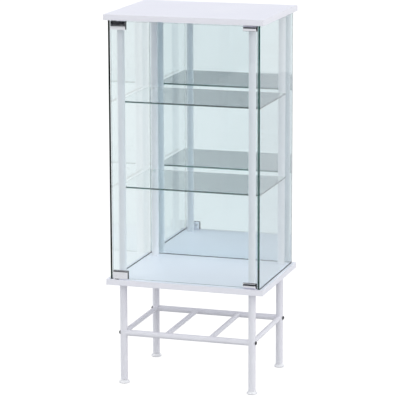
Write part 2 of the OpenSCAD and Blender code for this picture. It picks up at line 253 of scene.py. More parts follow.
def melamine():
    material, tree, shader, place = plain_material("melamine")
    cloud = noise(tree, place, 9, 3)
    colour_between(tree, cloud, shader.inputs["Base Color"], (0.855, 0.855, 0.95), (0.885, 0.885, 0.97))
    grain = noise(tree, place, 1400, 2)
    number_between(tree, grain, shader.inputs["Roughness"], 0.27, 0.37)
    raise_surface(tree, grain, shader, 0.00003)
    return material


def edge_band():
    material, tree, shader, place = plain_material("edge_band")
    streaks = noise(tree, place, 60, 3, (1, 1, 12))
    colour_between(tree, streaks, shader.inputs["Base Color"], (0.772, 0.767, 0.818), (0.802, 0.797, 0.843))
    number_between(tree, streaks, shader.inputs["Roughness"], 0.34, 0.44)
    raise_surface(tree, noise(tree, place, 900, 2), shader, 0.00003)
    return material


def glue_line():
    material, tree, shader, place = plain_material("glue_line")
    colour_between(
        tree, noise(tree, place, 300), shader.inputs["Base Color"], (0.60, 0.59, 0.60), (0.70, 0.69, 0.71)
    )
    number_between(tree, noise(tree, place, 500), shader.inputs["Roughness"], 0.5, 0.7)
    return material


def raw_chipboard():
    material, tree, shader, place = plain_material("raw_chipboard")
    chips = tree.nodes.new("ShaderNodeTexVoronoi")
    chips.inputs["Scale"].default_value = 700
    tree.links.new(place, chips.inputs["Vector"])
    chip = chips.outputs["Distance"]
    colour_between(tree, chip, shader.inputs["Base Color"], (0.22, 0.15, 0.08), (0.48, 0.36, 0.23))
    shader.inputs["Roughness"].default_value = 0.9
    raise_surface(tree, chip, shader, 0.0002)
    return material


def finish_piece(name, bm, body, materials, nodes):
    """Makes a piece of a bmesh that rides on a body and stands for its CAD nodes.

    Faces shade smoothly over a soft bend, and a broad face stays flat beside a narrow one.
    """
    slight_bend = math.radians(2)
    soft_bend = math.radians(35)
    for face in bm.faces:
        face.smooth = True
    for edge in bm.edges:
        if len(edge.link_faces) == 2:
            narrow, broad = sorted(face.calc_area() for face in edge.link_faces)
            bend = edge.calc_face_angle(0)
            beside_flat = bend > slight_bend and broad > 8 * narrow
            edge.smooth = bend < soft_bend and not beside_flat
    mesh = bpy.data.meshes.new(name)
    bm.to_mesh(mesh)
    bm.free()
    for material in materials:
        mesh.materials.append(material)
    piece = bpy.data.objects.new(name, mesh)
    bpy.context.scene.collection.objects.link(piece)
    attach(piece, body)
    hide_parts(*nodes)
    return piece


def round_edges(bm, edges, rounding, segments=2, clamp=False):
    """Rounds edges off by a distance in so many strips, held back where they would meet if clamp is set."""
    bmesh.ops.bevel(
        bm, geom=edges, affect="EDGES", offset=rounding, segments=segments, profile=0.5, material=-1,
        clamp_overlap=clamp,
    )


def block(low, high, rounding=0.0, segments=2):
    """A bmesh of a box between two corners, with its edges rounded."""
    bm = bmesh.new()
    bmesh.ops.create_cube(bm, size=1)
    bmesh.ops.scale(bm, vec=Vector(high) - Vector(low), verts=bm.verts)
    bmesh.ops.translate(bm, vec=(Vector(high) + Vector(low)) / 2, verts=bm.verts)
    if rounding:
        round_edges(bm, bm.edges[:], rounding, segments)
    return bm


def slice_faces(bm, faces, axis, at):
    """Cuts faces where they cross a plane square to X (axis 0) or Y (axis 1)."""
    edges = dict.fromkeys(e for f in faces for e in f.edges)
    verts = dict.fromkeys(v for f in faces for v in f.verts)
    normal = Vector((axis == 0, axis == 1, 0))
    bmesh.ops.bisect_plane(
        bm, geom=faces + list(edges) + list(verts), plane_co=normal * at, plane_no=normal, dist=1e-8
    )


def sink_faces(bm, faces, depth):
    """Pushes a patch of level faces down by a depth, with walls round it."""
    walls = bmesh.ops.extrude_face_region(bm, geom=faces)
    bottom = [v for v in walls["geom"] if isinstance(v, bmesh.types.BMVert)]
    bmesh.ops.translate(bm, vec=(0, 0, -depth), verts=bottom)
    bmesh.ops.delete(bm, geom=[f for f in faces if f.is_valid], context="FACES")


laminate, band, glue, chips = range(4)
board_finish = [melamine(), edge_band(), glue_line(), raw_chipboard()]


def grooved_board(low, high, cuts, depth, up):
    """A board with banded edges, and grooves sunk into its upper (up=1) or lower (up=-1) face."""
    face_z = high.z if up > 0 else low.z
    bm = block(low, high, 0.8 * MM, 3)
    for face in bm.faces:
        face.material_index = band

    def level_faces(z):
        return [
            f for f in bm.faces
            if abs(f.normal.z) > 0.99 and abs(f.calc_center_median().z - z) < 0.01 * MM
        ]

    def laminate_faces():
        return [f for f in level_faces(face_z) if f.material_index == laminate]

    def in_cut(face):
        x, y = face.calc_center_median().xy
        return any(a[0] < x < b[0] and a[1] < y < b[1] for a, b in cuts)

    for z in (low.z, high.z):
        broad = level_faces(z)
        ring = bmesh.ops.inset_region(bm, faces=broad, thickness=0.25 * MM, use_even_offset=True)
        for face in ring["faces"]:
            face.material_index = glue
        for face in broad:
            face.material_index = laminate
    for axis in (0, 1):
        for at in sorted({corner[axis] for cut in cuts for corner in cut}):
            slice_faces(bm, laminate_faces(), axis, at)
    sink_faces(bm, [f for f in laminate_faces() if in_cut(f)], depth * up)
    for face in bm.faces:
        sunk = (face_z - face.calc_center_median().z) * up
        deepest = max((face_z - v.co.z) * up for v in face.verts)
        if face.material_index == laminate and sunk < 1.01 * depth and deepest > 0.5 * depth:
            face.material_index = chips
    bmesh.ops.recalc_face_normals(bm, faces=bm.faces[:])
    return bm


floor_low, floor_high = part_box("bottom_board")
roof_low, roof_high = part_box("top_board")
left_low, left_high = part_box("side_glass_left")
right_low, right_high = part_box("side_glass_right")
mirror_low, mirror_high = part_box("mirror_glass")
backing_low, backing_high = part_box("mirror_backing")

groove_gap = 0.3 * MM
groove_depth = 4 * MM
grooves = [
    ((low.x - groove_gap, low.y - groove_gap), (high.x + groove_gap, high.y + groove_gap))
    for low, high in ((left_low, left_high), (right_low, right_high))
]
grooves.append(((left_high.x, mirror_low.y - groove_gap), (right_low.x, backing_high.y + groove_gap)))
finish_piece(
    "bottom_board_faced",
    grooved_board(floor_low, floor_high, grooves, groove_depth, 1),
    "case", board_finish, ["bottom_board"],
)
finish_piece(
    "top_board_faced",
    grooved_board(roof_low, roof_high, grooves, groove_depth, -1),
    "case", board_finish, ["top_board"],
)


# ---------------------------------------------------------------- hole plugs
# Four small plugs of white plastic close spare holes in the case's floor, two near each side panel.
# Each is moulded with a shank that grips the hole and a low cap with a rounded rim.


def white_plastic():
    material, tree, shader, place = plain_material("white_plastic")
    cloud = noise(tree, place, 160, 3)
    colour_between(tree, cloud, shader.inputs["Base Color"], (0.77, 0.77, 0.79), (0.82, 0.82, 0.835))
    number_between(tree, cloud, shader.inputs["Roughness"], 0.38, 0.5)
    raise_surface(tree, noise(tree, place, 2500, 2), shader, 0.00002)
    return material


def turned(profile, steps=64):
    """A bmesh of a closed turned solid about Z, from (radius, height) points in millimetres."""
    bm = bmesh.new()
    points = [bm.verts.new((r * MM, 0, z * MM)) for r, z in profile]
    for a, b in zip(points, points[1:]):
        bm.edges.new((a, b))
    if profile[0][0] > 0 or profile[-1][0] > 0:
        bm.edges.new((points[-1], points[0]))
    bmesh.ops.spin(
        bm, geom=bm.verts[:] + bm.edges[:], axis=(0, 0, 1), cent=(0, 0, 0),
        steps=steps, angle=2 * math.pi, use_merge=True,
    )
    bmesh.ops.remove_doubles(bm, verts=bm.verts, dist=1e-7)
    bmesh.ops.recalc_face_normals(bm, faces=bm.faces[:])
    return bm


def gather(parts):
    """One bmesh of several, each with the matrix that puts it in its place."""
    whole = bmesh.new()
    for bm, place in parts:
        bm.transform(place)
        if place.determinant() < 0:
            bmesh.ops.reverse_faces(bm, faces=bm.faces[:])
        mesh = bpy.data.meshes.new("part")
        bm.to_mesh(mesh)
        bm.free()
        whole.from_mesh(mesh)
        bpy.data.meshes.remove(mesh)
    return whole


unmoved = Matrix.Identity(4)
plastic = white_plastic()
plugs_low, plugs_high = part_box("hole_plugs")
plug_radius = 3.5
plug_profile = [
    (0, -8), (2.4, -8), (2.4, 0), (plug_radius, 0), (3.45, 0.35), (3.1, 0.68), (2.6, 0.8), (0, 0.8)
]
finish_piece(
    "floor_hole_plugs",
    gather(
        (turned(plug_profile, 32), Matrix.Translation((x, y, floor_high.z)))
        for x in (plugs_low.x + plug_radius * MM, plugs_high.x - plug_radius * MM)
        for y in (plugs_low.y + plug_radius * MM, plugs_high.y - plug_radius * MM)
    ),
    "case", [plastic], ["hole_plugs"],
)


# ---------------------------------------------------------------- posts and legs
# Posts and legs are welded steel tube of 1 mm wall under a white powder coat.
# The posts stand between the boards inside the glass, and the legs carry the stand below.


def powder_coat():
    material, tree, shader, place = plain_material("powder_coat")
    cloud = noise(tree, place, 24, 3)
    colour_between(tree, cloud, shader.inputs["Base Color"], (0.725, 0.72, 0.765), (0.755, 0.75, 0.79))
    peel = noise(tree, place, 620, 1.5)
    number_between(tree, peel, shader.inputs["Roughness"], 0.3, 0.4)
    raise_surface(tree, peel, shader, 0.00006)
    shader.inputs["Coat Weight"].default_value = 0.25
    shader.inputs["Coat Roughness"].default_value = 0.2
    return material


def tube_profile(radius, wall, low, high):
    """The section of a tube with softened rims."""
    rim = 0.3
    bore = radius - wall
    return [
        (bore + rim, low), (radius - rim, low), (radius, low + rim), (radius, high - rim),
        (radius - rim, high), (bore + rim, high), (bore, high - rim), (bore, low + rim),
    ]


coat = powder_coat()
tube_wall = 1.0
corners = ["front_left", "front_right", "rear_left", "rear_right"]
for corner in corners:
    for kind in ("post", "leg"):
        node = f"{kind}_{corner}"
        low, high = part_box(node)
        middle = (low + high) / 2
        radius = (high.x - low.x) / 2 / MM
        finish_piece(
            f"{kind}_tube_{corner}",
            gather([(
                turned(tube_profile(radius, tube_wall, low.z / MM, high.z / MM), 72),
                Matrix.Translation((middle.x, middle.y, 0)),
            )]),
            "case", [coat], [node],
        )


# ---------------------------------------------------------------- glass
# Side panels, door and shelves are clear float glass with ground and polished edges.
# Seen through its thickness the glass is nearly clear; along a panel it is deep green.


def float_glass():
    material, tree, shader, place = plain_material("float_glass")
    shader.inputs["Base Color"].default_value = (1, 1, 1, 1)
    shader.inputs["Transmission Weight"].default_value = 1
    shader.inputs["IOR"].default_value = 1.5
    number_between(tree, noise(tree, place, 35, 2), shader.inputs["Roughness"], 0.0, 0.004)
    clear = tree.nodes.new("ShaderNodeBsdfTransparent")
    clear.inputs["Color"].default_value = (0.985, 0.992, 0.992, 1)
    path = tree.nodes.new("ShaderNodeLightPath")
    lamps = tree.nodes.new("ShaderNodeMath")
    lamps.operation = "MAXIMUM"
    tree.links.new(path.outputs["Is Shadow Ray"], lamps.inputs[0])
    tree.links.new(path.outputs["Is Diffuse Ray"], lamps.inputs[1])
    mix = tree.nodes.new("ShaderNodeMixShader")
    tree.links.new(lamps.outputs[0], mix.inputs[0])
    tree.links.new(shader.outputs[0], mix.inputs[1])
    tree.links.new(clear.outputs[0], mix.inputs[2])
    tree.links.new(mix.outputs[0], tree.nodes["Material Output"].inputs["Surface"])
    green = tree.nodes.new("ShaderNodeVolumeAbsorption")
    green.inputs["Color"].default_value = (0.0, 0.417, 0.39, 1)
    green.inputs["Density"].default_value = 12
    tree.links.new(green.outputs[0], tree.nodes["Material Output"].inputs["Volume"])
    return material


glass = float_glass()
arris = 0.4 * MM
for node, piece, body in (
    ("side_glass_left", "side_panel_left", "case"),
    ("side_glass_right", "side_panel_right", "case"),
    ("door_glass", "door_panel", "door"),
    ("shelf_lower", "shelf_panel_lower", "shelf_lower"),
    ("shelf_upper", "shelf_panel_upper", "shelf_upper"),
):
    low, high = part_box(node)
    finish_piece(piece, block(low, high, arris, 2), body, [glass], [node])


# ---------------------------------------------------------------- glazing strips
# Dark vinyl strips are pushed into the grooves beside each side panel and in front of the mirror.
# They wedge the glass and close the gap, and only a thin rounded bead of them shows.
# The bead's near-black colour is partly the vinyl's own and partly painted shade for the shadow in the
# groove gap.


# Near-black: partly the strip's own colour, partly painted shade for the shadow in the groove gap at the
# foot of the glass.
def groove_shade_vinyl():
    return grained_finish(
        "groove_shade_vinyl", 1500, 2, ((0.03, 0.033, 0.04), (0.055, 0.06, 0.07)), (0.45, 0.6), relief=0.00003
    )


bead_width = 0.9 * MM
bead_height = 0.9 * MM
bead_root = 1.2 * MM
hair = 0.04 * MM
strip_rear = mirror_low.y - hair - bead_width
strips = []
for board_z, up in ((floor_high.z, 1), (roof_low.z, -1)):
    z_low = board_z - bead_root if up > 0 else board_z - bead_height
    z_high = board_z + bead_height if up > 0 else board_z + bead_root
    for low, high in ((left_low, left_high), (right_low, right_high)):
        for x_low in (low.x - hair - bead_width, high.x + hair):
            strips.append(((x_low, low.y, z_low), (x_low + bead_width, strip_rear, z_high)))
    strips.append((
        (left_high.x + hair + bead_width, strip_rear, z_low),
        (right_low.x - hair - bead_width, strip_rear + bead_width, z_high),
    ))
finish_piece(
    "glazing_strips",
    gather((block(low, high, 0.35 * MM, 3), unmoved) for low, high in strips),
    "case", [groove_shade_vinyl()], [],
)


# ---------------------------------------------------------------- mirror
# The back of the case is one sheet of mirror: clear glass with silver and grey paint on its rear face.
# A painted hardboard sheet behind it protects the paint.


def silver():
    material, tree, shader, place = plain_material("silver")
    colour_between(
        tree, noise(tree, place, 6, 2), shader.inputs["Base Color"], (0.86, 0.90, 0.92), (0.87, 0.91, 0.93)
    )
    shader.inputs["Metallic"].default_value = 1
    shader.inputs["Roughness"].default_value = 0.0
    return material


def painted_hardboard():
    return grained_finish(
        "painted_hardboard", 420, 4, ((0.62, 0.62, 0.63), (0.70, 0.70, 0.705)), (0.6, 0.8),
        relief=0.00015, stretch=(1, 1, 3),
    )


silver_depth = 0.12 * MM
silver_front = mirror_high.y - silver_depth
silver_gap = 0.01 * MM
backing_gap = 0.1 * MM
finish_piece(
    "mirror_sheet",
    block(mirror_low, (mirror_high.x, silver_front - silver_gap, mirror_high.z), arris, 2),
    "case", [glass], ["mirror_glass"],
)
finish_piece(
    "mirror_silver",
    block((mirror_low.x, silver_front, mirror_low.z), mirror_high, silver_depth / 4, 1),
    "case", [silver()], ["mirror_glass"],
)
finish_piece(
    "mirror_back_sheet",
    block(backing_low + Vector((0, backing_gap, 0)), backing_high, 0.3 * MM, 2),
    "case", [painted_hardboard()], ["mirror_backing"],
)


# ---------------------------------------------------------------- door hinges
# A chromed channel is clamped over each corner of the door on the hinge side, with black vinyl round the
# glass and two grub screws from inside. A pin in its web turns in a flanged plastic bush in the board.
# The bush is near-black as painted shade: its flange stands for the dark gap under the clip.


def chrome():
    return grained_finish(
        "chrome", 140, 3, ((0.80, 0.80, 0.83), (0.86, 0.86, 0.89)), (0.06, 0.13), metallic=1
    )


def black_vinyl():
    return grained_finish(
        "black_vinyl", 1800, 2, ((0.012, 0.012, 0.014), (0.022, 0.022, 0.025)), (0.45, 0.6), relief=0.00003
    )


# Near-black: painted shade, standing for the dark gap under each hinge clip where the bush sits.
def shade_black_nylon():
    return grained_finish(
        "shade_black_nylon", 1200, 2, ((0.014, 0.014, 0.016), (0.026, 0.026, 0.03)), (0.38, 0.5), relief=0.00002
    )


def bright_steel():
    return grained_finish(
        "bright_steel", 300, 3, ((0.58, 0.58, 0.57), (0.68, 0.68, 0.67)), (0.22, 0.36),
        metallic=1, stretch=(1, 1, 6),
    )


def black_steel():
    return grained_finish(
        "black_steel", 700, 3, ((0.05, 0.05, 0.055), (0.09, 0.09, 0.095)), (0.3, 0.42), metallic=0.7
    )


def folded_strip(section, x_low, x_high, rounding, segments=2):
    """A bmesh of a (y, z) section in metres drawn out along X, with its sharp edges rounded."""
    bm = bmesh.new()
    face = bm.faces.new([bm.verts.new((x_low, y, z)) for y, z in section])
    drawn = bmesh.ops.extrude_face_region(bm, geom=[face])
    tip = [v for v in drawn["geom"] if isinstance(v, bmesh.types.BMVert)]
    bmesh.ops.translate(bm, vec=(x_high - x_low, 0, 0), verts=tip)
    bmesh.ops.recalc_face_normals(bm, faces=bm.faces[:])
    sharp = [e for e in bm.edges if e.calc_face_angle(0) > math.radians(40)]
    round_edges(bm, sharp, rounding, segments, clamp=True)
    bmesh.ops.recalc_face_normals(bm, faces=bm.faces[:])
    return bm


def crowned(y, z_low, z_high, bulge, steps=10):
    """(y, z) points up a front at y that stands out towards -Y by bulge in its middle."""
    points = []
    for step in range(steps + 1):
        part = step / steps
        points.append((y + bulge * (2 * part - 1) ** 2, z_low + part * (z_high - z_low)))
    return points


def hexagon_socket(bm, radius):
    """Pulls the points at a radius in millimetres round Z into a hexagon of that corner radius."""
    sixth = math.pi / 3
    for vert in bm.verts:
        if abs(math.hypot(vert.co.x, vert.co.y) - radius * MM) < 0.01 * MM:
            from_flat = math.atan2(vert.co.y, vert.co.x) % sixth - sixth / 2
            pull = math.cos(sixth / 2) / math.cos(from_flat)
            vert.co.x *= pull
            vert.co.y *= pull


to_ceiling = Matrix.Translation((0, 0, floor_high.z + roof_low.z)) @ Matrix.Diagonal((1, 1, -1, 1))
levels = [("lower", unmoved), ("upper", to_ceiling)]
door_low, door_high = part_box("door_glass")
clip_low, clip_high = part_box("hinge_clip_lower")
pin_low, pin_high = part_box("hinge_pin_lower")
pin = (pin_low + pin_high) / 2
bush_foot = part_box("hinge_bush_lower")[0].z
chrome_plate = chrome()
vinyl = black_vinyl()
bush_shade_nylon = shade_black_nylon()
steel = bright_steel()
black = black_steel()
skin = 0.03 * MM
clip_front = 1.5 * MM
clip_rear = 2.5 * MM
clip_bulge = 0.3 * MM
lip = 3.4 * MM
lip_slope = 0.95 * MM
throat_front = clip_low.y + clip_front
throat_rear = clip_high.y - clip_rear
throat_foot = door_low.z - 0.45 * MM
clip_section = (
    crowned(clip_low.y, clip_low.z, clip_high.z - lip, clip_bulge)[:-1]
    + [
        (clip_low.y + 0.25 * MM, clip_high.z - lip),
        (clip_low.y + lip_slope, clip_high.z),
        (throat_front, clip_high.z),
        (throat_front, throat_foot),
        (throat_rear, throat_foot),
        (throat_rear, clip_high.z),
        (clip_high.y, clip_high.z),
        (clip_high.y, clip_low.z),
    ]
)
gasket_foot = throat_foot + 0.05 * MM
gasket_top = clip_high.z - 0.7 * MM
gasket_section = [
    (throat_front + skin, gasket_foot),
    (throat_front + skin, gasket_top),
    (door_low.y - skin, gasket_top),
    (door_low.y - skin, door_low.z - skin),
    (door_high.y + skin, door_low.z - skin),
    (door_high.y + skin, gasket_top),
    (throat_rear - skin, gasket_top),
    (throat_rear - skin, gasket_foot),
]
end_flange = 0.6 * MM
hidden_flange = 0.5 * MM
flange_inset = 0.5 * MM
flange_foot = clip_low.z + 0.4 * MM
flange_top = clip_high.z - 0.6 * MM
flange_section = [
    (clip_low.y + flange_inset, flange_foot),
    (clip_low.y + 0.8 * MM, clip_high.z - 0.9 * MM),
    (door_low.y - skin, flange_top),
    (door_low.y - skin, door_low.z - skin),
    (door_high.y + skin, door_low.z - skin),
    (door_high.y + skin, flange_top),
    (clip_high.y - flange_inset, flange_top),
    (clip_high.y - flange_inset, flange_foot),
]
grub_z = clip_low.z + 12.5 * MM
grub_pitch = 21 * MM
grub_places = [(pin.x, grub_z), (pin.x + grub_pitch, grub_z)]
grub_socket = 1.1
grub_profile = [
    (0, -2.4), (1.6, -2.4), (1.95, -2.1), (1.95, 0.05), (1.75, 0.25),
    (grub_socket, 0.25), (grub_socket, -1.2), (0, -1.2),
]
pin_length = (pin_high.z - pin_low.z) / MM
pin_profile = [(0, 0), (1.9, 0), (2.5, 0.6), (2.5, pin_length - 0.5), (2.5, pin_length), (0, pin_length)]
bush_profile = [
    (2.55, 0), (4, 0), (4, 8.5), (5.8, 8.5), (6, 8.7), (6, 9.55), (5.75, 9.8), (2.85, 9.8), (2.55, 9.5)
]

for level, turn_over in levels:
    clip = folded_strip(clip_section, clip_low.x, clip_high.x, 0.25 * MM, 2)
    finish_piece(
        f"hinge_channel_{level}", gather([(clip, turn_over)]),
        "door", [chrome_plate], [f"hinge_clip_{level}"],
    )
    pin_place = turn_over @ Matrix.Translation((pin.x, pin.y, pin_low.z))
    finish_piece(
        f"hinge_pivot_{level}", gather([(turned(pin_profile, 40), pin_place)]),
        "door", [steel], [f"hinge_pin_{level}"],
    )
    # The bush's black flange paints in the shade of the gap between the clip and the board.
    bush_place = turn_over @ Matrix.Translation((pin.x, pin.y, bush_foot))
    finish_piece(
        f"hinge_socket_{level}", gather([(turned(bush_profile, 48), bush_place)]),
        "case", [bush_shade_nylon], [f"hinge_bush_{level}"],
    )

finish_piece(
    "hinge_gaskets",
    gather(
        (folded_strip(section, x_low, x_high, 0.1 * MM, 1), turn_over)
        for level, turn_over in levels
        for section, x_low, x_high in (
            (gasket_section, clip_low.x, clip_high.x),
            (flange_section, clip_low.x - hidden_flange, clip_low.x - skin),
            (flange_section, clip_high.x + skin, clip_high.x + end_flange),
        )
    ),
    "door", [vinyl], ["hinge_pads"],
)


def grub_screw():
    bm = turned(grub_profile, 36)
    hexagon_socket(bm, grub_socket)
    return bm


point_rearward = Matrix.Rotation(-quarter_turn, 4, "X")
finish_piece(
    "hinge_clamp_screws",
    gather(
        (grub_screw(), turn_over @ Matrix.Translation((x, clip_high.y, z)) @ point_rearward)
        for level, turn_over in levels
        for x, z in grub_places
    ),
    "door", [black], ["hinge_grub_screws"],
)


# ---------------------------------------------------------------- strikes and magnet catches
# A pressed steel strike with a domed, chromed front is pushed over each free corner of the door, on a liner
# of black vinyl. Behind it a magnet in a plastic housing is screwed to the board, and holds the door shut.


def ferrite():
    return grained_finish(
        "ferrite", 900, 3, ((0.035, 0.034, 0.036), (0.06, 0.058, 0.06)), (0.5, 0.7), relief=0.00005
    )


strike_low, strike_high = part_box("strike_clip_lower")
strike_bulge = 3.2 * MM
strike_tape = 0.3 * MM
strike_left = strike_low.x + 0.3 * MM
strike_right = strike_high.x - 1.4 * MM
strike_top = strike_high.z - 0.5 * MM
strike_edge = strike_low.y + strike_bulge
strike_section = (
    crowned(strike_low.y, strike_low.z, strike_top, strike_bulge, 16)
    + [
        (door_low.y - strike_tape, strike_top),
        (door_low.y - strike_tape, door_low.z - strike_tape),
        (door_high.y + strike_tape, door_low.z - strike_tape),
        (door_high.y + strike_tape, strike_top),
        (strike_high.y, strike_top),
        (strike_high.y, strike_low.z),
    ]
)
liner = 0.27 * MM
liner_mouth = [
    (door_low.y - skin, strike_high.z),
    (door_low.y - skin, door_low.z - skin),
    (door_high.y + skin, door_low.z - skin),
    (door_high.y + skin, strike_high.z),
]
liner_section = (
    [(door_low.y - liner, door_low.z - liner), (door_low.y - liner, strike_high.z)]
    + liner_mouth
    + [(door_high.y + liner, strike_high.z), (door_high.y + liner, door_low.z - liner)]
)
liner_end_foot = strike_low.z + 0.3 * MM
liner_end_rear = strike_high.y - 0.2 * MM
liner_end_section = (
    crowned(strike_low.y + 0.5 * MM, liner_end_foot, strike_high.z, 2.7 * MM, 8)
    + liner_mouth
    + [(liner_end_rear, strike_high.z), (liner_end_rear, liner_end_foot)]
)


def domed_strike():
    """The strike with extra rings near its ends, where the dome is pressed down to the corner."""
    bm = folded_strip(strike_section, strike_left, strike_right, 0.3 * MM, 2)
    reach = 2.6 * MM
    rings = 5
    for ring in range(1, rings + 1):
        inset = reach * (1 - math.cos(ring / rings * quarter_turn))
        for at in (strike_left + inset, strike_right - inset):
            slice_faces(bm, bm.faces[:], 0, at)
    for vert in bm.verts:
        for end in (strike_left, strike_right):
            near = max(0.0, 1 - abs(vert.co.x - end) / reach)
            if near and vert.co.y < strike_edge:
                fall = 1 - math.sqrt(max(0.0, 1 - near * near))
                vert.co.y += 0.9 * fall * (strike_edge - vert.co.y)
    return bm


housing_low, housing_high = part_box("catch_housing_lower")
magnets_low, magnets_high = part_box("catch_magnets")
housing = (housing_low + housing_high) / 2
ear = 6 * MM
ear_height = 3 * MM
wall = 2 * MM


def soften(bm, rounding):
    """Rounds every corner that bends by more than 40 degrees."""
    round_edges(bm, [e for e in bm.edges if e.calc_face_angle(0) > math.radians(40)], rounding)
    return bm


def catch_body():
    """A housing with a pocket for the magnet."""
    bm = block(
        (housing_low.x + ear, housing_low.y, housing_low.z),
        (housing_high.x - ear, housing_high.y, housing_high.z),
    )
    front = [f for f in bm.faces if f.normal.y < -0.99]
    bmesh.ops.inset_region(bm, faces=front, thickness=wall - 0.05 * MM, use_even_offset=True)
    sunk = bmesh.ops.extrude_face_region(bm, geom=front)
    inner = [v for v in sunk["geom"] if isinstance(v, bmesh.types.BMVert)]
    bmesh.ops.translate(bm, vec=(0, 4 * MM, 0), verts=inner)
    bmesh.ops.delete(bm, geom=[f for f in front if f.is_valid], context="FACES")
    bmesh.ops.recalc_face_normals(bm, faces=bm.faces[:])
    return soften(bm, 0.35 * MM)


def catch_ear(side):
    """A low ear of the housing with a rounded end."""
    half = (housing_high.x - housing_low.x) / 2
    root = housing.x + side * (half - ear - 0.5 * MM)
    tip = housing.x + side * half
    bm = block(
        (min(root, tip), housing_low.y, housing_low.z),
        (max(root, tip), housing_high.y, housing_low.z + ear_height),
    )
    upright_edges = [
        e for e in bm.edges
        if all(abs(v.co.x - tip) < 1e-6 for v in e.verts) and abs(e.verts[0].co.z - e.verts[1].co.z) > 1 * MM
    ]
    round_edges(bm, upright_edges, 2.4 * MM, 6)
    return soften(bm, 0.3 * MM)


screw_top = 1.3
screw_profile = [
    (0, -10), (1.2, -9), (1.5, -7.5), (1.5, 0), (2.7, 0), (2.65, 0.4), (2.2, 1.0),
    (1.7, screw_top), (0, screw_top),
]


def catch_screw():
    """A screw along Z with a cross recess in the flat of its head."""
    bm = turned(screw_profile, 36)
    bmesh.ops.dissolve_faces(bm, faces=[f for f in bm.faces if f.normal.z > 0.99])
    reach = 1.25 * MM
    half_width = 0.25 * MM

    def flat_faces():
        return [
            f for f in bm.faces
            if f.normal.z > 0.99 and abs(f.calc_center_median().z - screw_top * MM) < 1e-6
        ]

    def in_cross(face):
        near, far = sorted((abs(face.calc_center_median().x), abs(face.calc_center_median().y)))
        return near < half_width and far < reach

    for axis in (0, 1):
        for at in (-reach, -half_width, half_width, reach):
            slice_faces(bm, flat_faces(), axis, at)
    sink_faces(bm, [f for f in flat_faces() if in_cross(f)], 0.7 * MM)
    bmesh.ops.recalc_face_normals(bm, faces=bm.faces[:])
    return bm


finish_piece(
    "strike_liners",
    gather(
        (folded_strip(section, x_low, x_high, 0.06 * MM, 1), turn_over)
        for level, turn_over in levels
        for section, x_low, x_high in (
            (liner_section, strike_low.x, strike_right),
            (liner_end_section, strike_right + 0.02 * MM, strike_high.x),
        )
    ),
    "door", [vinyl], [],
)

for level, turn_over in levels:
    finish_piece(
        f"strike_plate_{level}", gather([(domed_strike(), turn_over)]),
        "door", [chrome_plate], [f"strike_clip_{level}"],
    )
    finish_piece(
        f"catch_body_{level}",
        gather((part, turn_over) for part in (catch_body(), catch_ear(-1), catch_ear(1))),
        "case", [plastic], [f"catch_housing_{level}"],
    )

magnet_high = Vector((magnets_high.x, magnets_high.y, housing_high.z - wall))
finish_piece(
    "catch_magnet_blocks",
    gather((block(magnets_low, magnet_high, 0.3 * MM, 2), turn_over) for level, turn_over in levels),
    "case", [ferrite()], ["catch_magnets"],
)
screw_spread = 15 * MM
screw_places = [
    turn_over @ Matrix.Translation((housing.x + side * screw_spread, housing.y, housing_low.z + ear_height))
    for level, turn_over in levels
    for side in (-1, 1)
]
finish_piece(
    "catch_fixing_screws", gather((catch_screw(), place) for place in screw_places),
    "case", [steel], ["catch_screws"],
)


# ---------------------------------------------------------------- shelf pegs
# Each shelf rests on four steel pegs screwed into the posts, so that they point in under its ends.
# A clear vinyl sleeve on each peg keeps the glass from the steel.


def clear_vinyl():
    material, tree, shader, place = plain_material("clear_vinyl")
    haze = noise(tree, place, 400, 2)
    colour_between(tree, haze, shader.inputs["Base Color"], (0.74, 0.77, 0.78), (0.80, 0.82, 0.83))
    number_between(tree, haze, shader.inputs["Roughness"], 0.25, 0.4)
    shader.inputs["Subsurface Weight"].default_value = 0.3
    shader.inputs["Subsurface Scale"].default_value = 0.002
    return material


sleeve = clear_vinyl()
peg_profile = [(0, -3), (2.5, -3), (2.5, 13), (3.1, 13), (3.4, 13.3), (3.4, 13.8), (2.9, 14.2), (0, 14.2)]
sleeve_profile = [(2.52, 0.3), (3.3, 0.3), (3.5, 0.5), (3.5, 12.7), (3.3, 12.95), (2.52, 12.95)]
post_low, post_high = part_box("post_front_right")
post_x = (post_low.x + post_high.x) / 2
for level in ("lower", "upper"):
    low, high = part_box(f"shelf_sleeves_{level}")
    peg_places = [
        Matrix.Rotation(half_turn, 4, "Z")
        @ Matrix.Translation((side * post_x, post_high.y, (low.z + high.z) / 2))
        @ point_rearward
        for side in (-1, 1)
        for half_turn in (0, math.pi)
    ]
    finish_piece(
        f"shelf_peg_set_{level}", gather((turned(peg_profile, 40), place) for place in peg_places),
        "case", [steel], [f"shelf_pegs_{level}"],
    )
    finish_piece(
        f"shelf_sleeve_set_{level}", gather((turned(sleeve_profile, 40), place) for place in peg_places),
        "case", [sleeve], [f"shelf_sleeves_{level}"],
    )


# ---------------------------------------------------------------- hidden fixings
# Threaded plugs pressed into the tubes take the studs, the hanger screws and the rack bolts.
# They are zinc plated steel and stay out of sight once the cabinet is together.

for node in ("post_plugs", "leg_plugs", "joining_studs", "hanger_screws", "rail_plugs"):
    for material_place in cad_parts[node].material_slots:
        material_place.material = steel


# ---------------------------------------------------------------- rack
# Side bars are welded between the front and rear legs, and cross bars between the two rails.
# The rails are bolted through the legs, so the stand packs flat. All of it has the tubes' powder coat.

bar_wall = 1


def bar_profile(radius, length):
    """The section of a plain tube."""
    return [(radius - bar_wall, 0), (radius, 0), (radius, length), (radius - bar_wall, length)]


